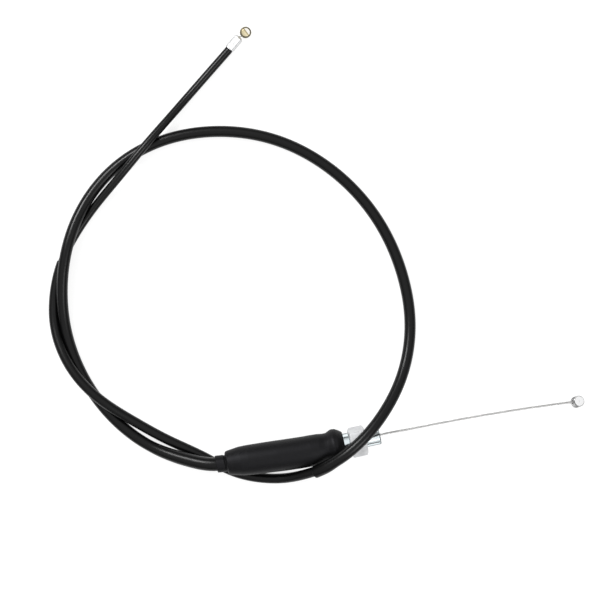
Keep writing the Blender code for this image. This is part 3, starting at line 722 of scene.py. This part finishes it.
def brass_dish(x, y):
    """Two halves on either side of a shallow score across the face."""
    line = x - 0.30
    return 0.32 * math.exp(-(line / 0.26) ** 2) + (0.03 * abs(line))


# painted shade along the score and over the left of the face, and a painted highlight over its right half
def brass_painted_light(x, y):
    line = x - 0.30
    side = min(1.0, max(0.0, (line - 0.25) / 0.3))
    return 0.30 * math.exp(-(line / 0.30) ** 2) + 0.12 * max(0.0, -line - 0.6), 0.85 * side


# painted shade on the bevel and on the side wall
brass_painted_light.bevel, brass_painted_light.wall = 0.50, 0.15


def steel_dish(x, y):
    return 0.05 * math.exp(-((x - 0.2) ** 2 + (y * 0.6) ** 2) / 0.22)


# painted shade in the dimple at the middle of the face, and no painted highlight
def steel_painted_shade(x, y):
    return 0.10 * math.exp(-((x - 0.2) ** 2 + (y * 0.6) ** 2) / 0.22), 0.0


# painted shade on the bevel and on the side wall
steel_painted_shade.bevel, steel_painted_shade.wall = 0.46, 0.12


def leaning(matrix, toward, degrees, about):
    """The frame turned a little about a point on its own Z axis, so that its top leans toward a direction."""
    turn_axis = Vector((0, 0, 1)).cross(Vector((toward[0], toward[1], 0.0)).normalized())
    at = matrix @ Vector((0.0, 0.0, about * MM))
    return Matrix.Translation(at) @ Matrix.Rotation(math.radians(degrees), 4, turn_axis) @ Matrix.Translation(-at) @ matrix


brass = nipple("brass_nipple", Matrix.Translation((0.0, -0.0003, 0.0)) @ leaning(brass_m, (0.55, -0.83), 9.0, 3.5), 0.75, NIPPLE_HEIGHT - 0.3, 0.95, 0.74,
               brass_mat, brass_dish, brass_painted_light, NOSE[2], 1.05)
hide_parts("throttle_nipple")
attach(brass, "throttle_end")
steel_nipple = nipple("steel_nipple", Matrix.Translation((-0.0005, 0.0, 0.0)) @ leaning(steel_m, (0.0, 1.0), 10.0, 0.0), -NIPPLE_HEIGHT / 2, NIPPLE_HEIGHT / 2, 0.50, 0.72, nipple_mat, steel_dish,
                      steel_painted_shade, 0.0, 1.55)
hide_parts("carb_nipple")
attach(steel_nipple, "carb_end")

tip_painted_shade = []


def tip_shape(q, r, h):
    """The chamfer at the tip's end is darkened with painted shade."""
    tip_painted_shade.append(0.55 * min(1.0, max(0.0, (TIP_T + 0.85 - h) / 0.15)) if r > TIP_R - 0.5 else 0.0)
    return r * math.cos(q), r * math.sin(q), h


barrel = lathe("barrel_skin", spread_out(rounded([
    (THREAD_R + 0.3, BARREL_INNER_T, 0.1), (BARREL_R, BARREL_INNER_T, 0.4), (BARREL_R, SHOULDER_T, 0.22),
    (TIP_R, SHOULDER_T, 0.1), (TIP_R, -6.6, 0.1), (TIP_R + 0.9, -6.75, 0.1), (TIP_R + 0.9, -7.5, 0.1),
    (TIP_R, -7.9, 0.1), (TIP_R, TIP_T + 0.9, 0.02), (TIP_R, TIP_T + 0.65, 0.06), (TIP_R - 0.4, TIP_T, 0.08),
    (TIP_BORE_R, TIP_T, 0.3), (TIP_BORE_R, 5.0, 0.3),
    (THREAD_R + 0.3, 7.0, 0.2)], closed=True), 3.0), adjuster_m, 128, zinc_mat, reshape=tip_shape, closed=True)
# the tip's chamfer carries painted shade, which the finish turns into a darker colour
tip_shade_attr = barrel.data.attributes.new("hollow", "FLOAT", "POINT")
tip_shade_attr.data.foreach_set("value", np.asarray(tip_painted_shade, np.float32))
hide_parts("adjuster_barrel")
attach(barrel, "barrel")


def union_nut():
    """A chamfered hexagon with a thread inside its outboard end."""
    steps, low, high = 216, UNION_T1, UNION_T0
    hexa = hexagon(UNION_FLATS, 13.0)
    chamfer_r = UNION_FLATS / 2 * 0.955
    slope = math.tan(math.radians(30.0))
    pitch, depth = 1.25, 0.55
    rows = [("face_in", k / 3) for k in range(4)] + [("cone_in", k / 6) for k in range(1, 6)] \
        + [("round_in", k / 4) for k in range(0, 5)] + [("flat", k / 6) for k in range(1, 6)] \
        + [("round_out", k / 4) for k in range(0, 5)] + [("cone_out", k / 6) for k in range(5, 0, -1)] \
        + [("face_out", k / 3) for k in range(3, -1, -1)]
    cavity = np.linspace(low + 0.5, high - 3.0, 56)
    verts, rolled, faces = [], [], []
    edge = 0.16

    def emit(q, r, h):
        verts.append(adjuster_m @ (Vector((r * math.cos(q), r * math.sin(q), h)) * MM))
        rolled.append((r * math.cos(q) * MM, r * math.sin(q) * MM, h * MM))

    table = rows + [("thread", float(h)) for h in cavity] + [("web", 0.0), ("web", 1.0), ("hole", 0.0), ("hole", 1.0)]
    for part, u in table:
        for j in range(steps):
            q = 2 * math.pi * j / steps
            rim = hexa(q)
            drop = (rim - chamfer_r) * slope
            if part == "face_in":
                emit(q, TIP_R + 0.5 + (chamfer_r - TIP_R - 0.5) * u, high)
            elif part == "cone_in":
                r = chamfer_r + (rim - edge - chamfer_r) * u
                emit(q, r, high - (r - chamfer_r) * slope)
            elif part == "round_in":
                a, b = (rim - edge, high - (rim - edge - chamfer_r) * slope), (rim, high - drop - edge)
                c = (rim, high - drop)
                r, h = [(1 - u) ** 2 * a[i] + 2 * u * (1 - u) * c[i] + u * u * b[i] for i in (0, 1)]
                emit(q, r, h)
            elif part == "flat":
                top, bottom = high - drop - edge, low + drop + edge
                emit(q, rim, top + (bottom - top) * u)
            elif part == "round_out":
                a, b = (rim, low + drop + edge), (rim - edge, low + (rim - edge - chamfer_r) * slope)
                c = (rim, low + drop)
                r, h = [(1 - u) ** 2 * a[i] + 2 * u * (1 - u) * c[i] + u * u * b[i] for i in (0, 1)]
                emit(q, r, h)
            elif part == "cone_out":
                r = chamfer_r + (rim - edge - chamfer_r) * u
                emit(q, r, low + (r - chamfer_r) * slope)
            elif part == "face_out":
                emit(q, 7.0 + (chamfer_r - 7.0) * u, low)
            elif part == "thread":
                wave = abs(((u / pitch - q / (2 * math.pi)) % 1.0) * 2 - 1)
                fade = min(1.0, (u - low - 0.5) / 0.9, (high - 3.0 - u) / 0.9)
                emit(q, 6.78 - depth * (1 - wave) * max(0.0, fade), u)
            elif part == "web":
                emit(q, 6.6 + (TIP_R + 0.5 - 6.6) * u, high - 2.8)
            else:
                emit(q, TIP_R + 0.42, high - 2.6 + 2.4 * u)
    for i in range(len(table)):
        faces += ring_faces(i * steps, ((i + 1) % len(table)) * steps, steps)
    obj = new_mesh("union_nut_skin", verts, faces, frosted_mat, rolled, sharp=48)
    outward(obj)
    return obj


nut = union_nut()
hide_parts("union_nut")
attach(nut, "swivel_nut")

# ------------------------------------------------------------------ the rubber boot
BOOT_OUTER = [
    (5.25, 83.1, 0.2), (5.5, 82.7, 0.3), (5.55, 77.9, 0.35), (5.15, 77.3, 0.25), (5.15, 76.9, 0.2), (6.7, 76.5, 0.35),
    (7.6, 75.8, 0.6), (8.0, 74.2, 2.0), (8.6, 71.2, 4.0), (9.3, 67.5, 6.0), (9.7, 62.0, 9.0), (9.85, 56.0, 9.0),
    (10.05, 44.0, 9.0), (10.1, 30.0, 9.0), (10.05, 22.0, 9.0), (9.8, 16.5, 3.0), (9.25, 12.8, 1.2), (9.25, 10.6, 0.9),
    (10.5, 8.0, 0.9), (10.9, 6.6, 0.9), (10.6, 4.4, 1.0), (9.3, 2.1, 1.0), (8.3, 0.8, 0.6), (7.8, 0.2, 0.3)]
BOOT_INNER = [(7.35, 0.2, 0.2), (7.35, 7.0, 0.5), (8.0, 10.0, 0.5), (8.3, 14.0, 0.5), (8.3, 60.0, 2.0), (7.3, 66.0, 2.0),
              (5.4, 74.1, 0.6), (4.75, 76.3, 0.6), (4.75, 83.1, 0.15)]


def boot_shape(q, r, h):
    # a mould seam runs down both sides, and the rubber is a little uneven
    seam = 0.05 * (math.exp(-((q - math.pi / 2) / 0.035) ** 2) + math.exp(-((q - 3 * math.pi / 2) / 0.035) ** 2))
    uneven = 0.035 * math.sin(3 * q + h * 0.21) * math.sin(h * 0.11)
    if r > 8.0 and 2.0 < h < 76.0:
        r += seam + uneven * min(1.0, (h - 2.0) / 8.0, (76.0 - h) / 8.0)
    return r * math.cos(q) + boot_bend(h), r * math.sin(q), h


boot = lathe("boot_skin", spread_out(rounded(BOOT_OUTER + BOOT_INNER, closed=True, steps=4), 2.0), adjuster_m, 144, boot_mat,
             reshape=boot_shape, closed=True)
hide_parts("rubber_boot")
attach(boot, "casing")

# ------------------------------------------------------------------ finishes of the nodes kept from the CAD model
for node, mat in (("casing_conduit", conduit_mat), ("casing_liner", liner_mat), ("inner_wire", conduit_mat),
                  ("adjuster_end_ferrule", zinc_mat), ("adjuster_screw", zinc_mat), ("adjuster_lock_nut", zinc_mat)):
    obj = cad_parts[node]
    for s in obj.material_slots:
        s.link = "OBJECT"
        s.material = mat

# ------------------------------------------------------------------ the free cords
def path_of(curve, low, high, n=400):
    return [tuple(place(*curve.at(float(s)))) for s in np.linspace(low, high, n)]


path_of(casing, NEAR_BOOT, JACKET_FROM, 900)
path_of(bare, WIRE_FROM, WIRE_TO, 200)

# ------------------------------------------------------------------ floor and light
floor_mesh = bpy.data.meshes.new("floor")
floor_mesh.from_pydata([(-40, -40, -0.0002), (40, -40, -0.0002), (40, 40, -0.0002), (-40, 40, -0.0002)], [], [(0, 1, 2, 3)])
floor = bpy.data.objects.new("floor", floor_mesh)
scene.collection.objects.link(floor)
floor_mat, nodes_, links_, shader_ = fresh("white_table")
shader_.inputs["Base Color"].default_value = (0.30, 0.30, 0.30, 1.0)
shader_.inputs["Roughness"].default_value = 0.9
shader_.inputs["Specular IOR Level"].default_value = 0.1
shader_.inputs["Emission Color"].default_value = (1.0, 1.0, 1.0, 1.0)
shader_.inputs["Emission Strength"].default_value = 0.78
floor_mesh.materials.append(floor_mat)

world = bpy.data.worlds.new("studio")
scene.world = world
world.use_nodes = True
background = world.node_tree.nodes["Background"]
background.inputs["Strength"].default_value = 1.0
# a pale room with a darker band low down all round, which gives plated edges their thin dark lines
sky = world.node_tree.nodes.new("ShaderNodeTexCoord")
height = world.node_tree.nodes.new("ShaderNodeSeparateXYZ")
world.node_tree.links.new(sky.outputs["Generated"], height.inputs["Vector"])
room = ramp(world.node_tree.nodes, world.node_tree.links, height.outputs["Z"],
            [(0.0, (0.09, 0.09, 0.09)), (0.19, (0.09, 0.09, 0.09)), (0.40, (0.55, 0.55, 0.55)), (0.84, (0.98, 0.98, 0.98))])
world.node_tree.links.new(room, background.inputs["Color"])

MIDDLE = Vector((-0.064, -0.032, 0.0))


def softbox(name, direction, distance, size, watts, colour=(1.0, 1.0, 1.0)):
    light = bpy.data.lights.new(name, "AREA")
    light.shape = "RECTANGLE"
    light.size, light.size_y = size
    light.energy = watts
    light.color = colour
    obj = bpy.data.objects.new(name, light)
    scene.collection.objects.link(obj)
    at = MIDDLE + Vector(direction).normalized() * distance
    obj.matrix_world = axis_frame(Vector(direction), (1, 1, 0), at)
    return obj


softbox("key", (-0.50, 0.50, 0.74), 1.6, (0.45, 0.45), 18.0)
softbox("fill", (0.50, -0.46, 0.80), 1.6, (0.6, 0.6), 7.0)
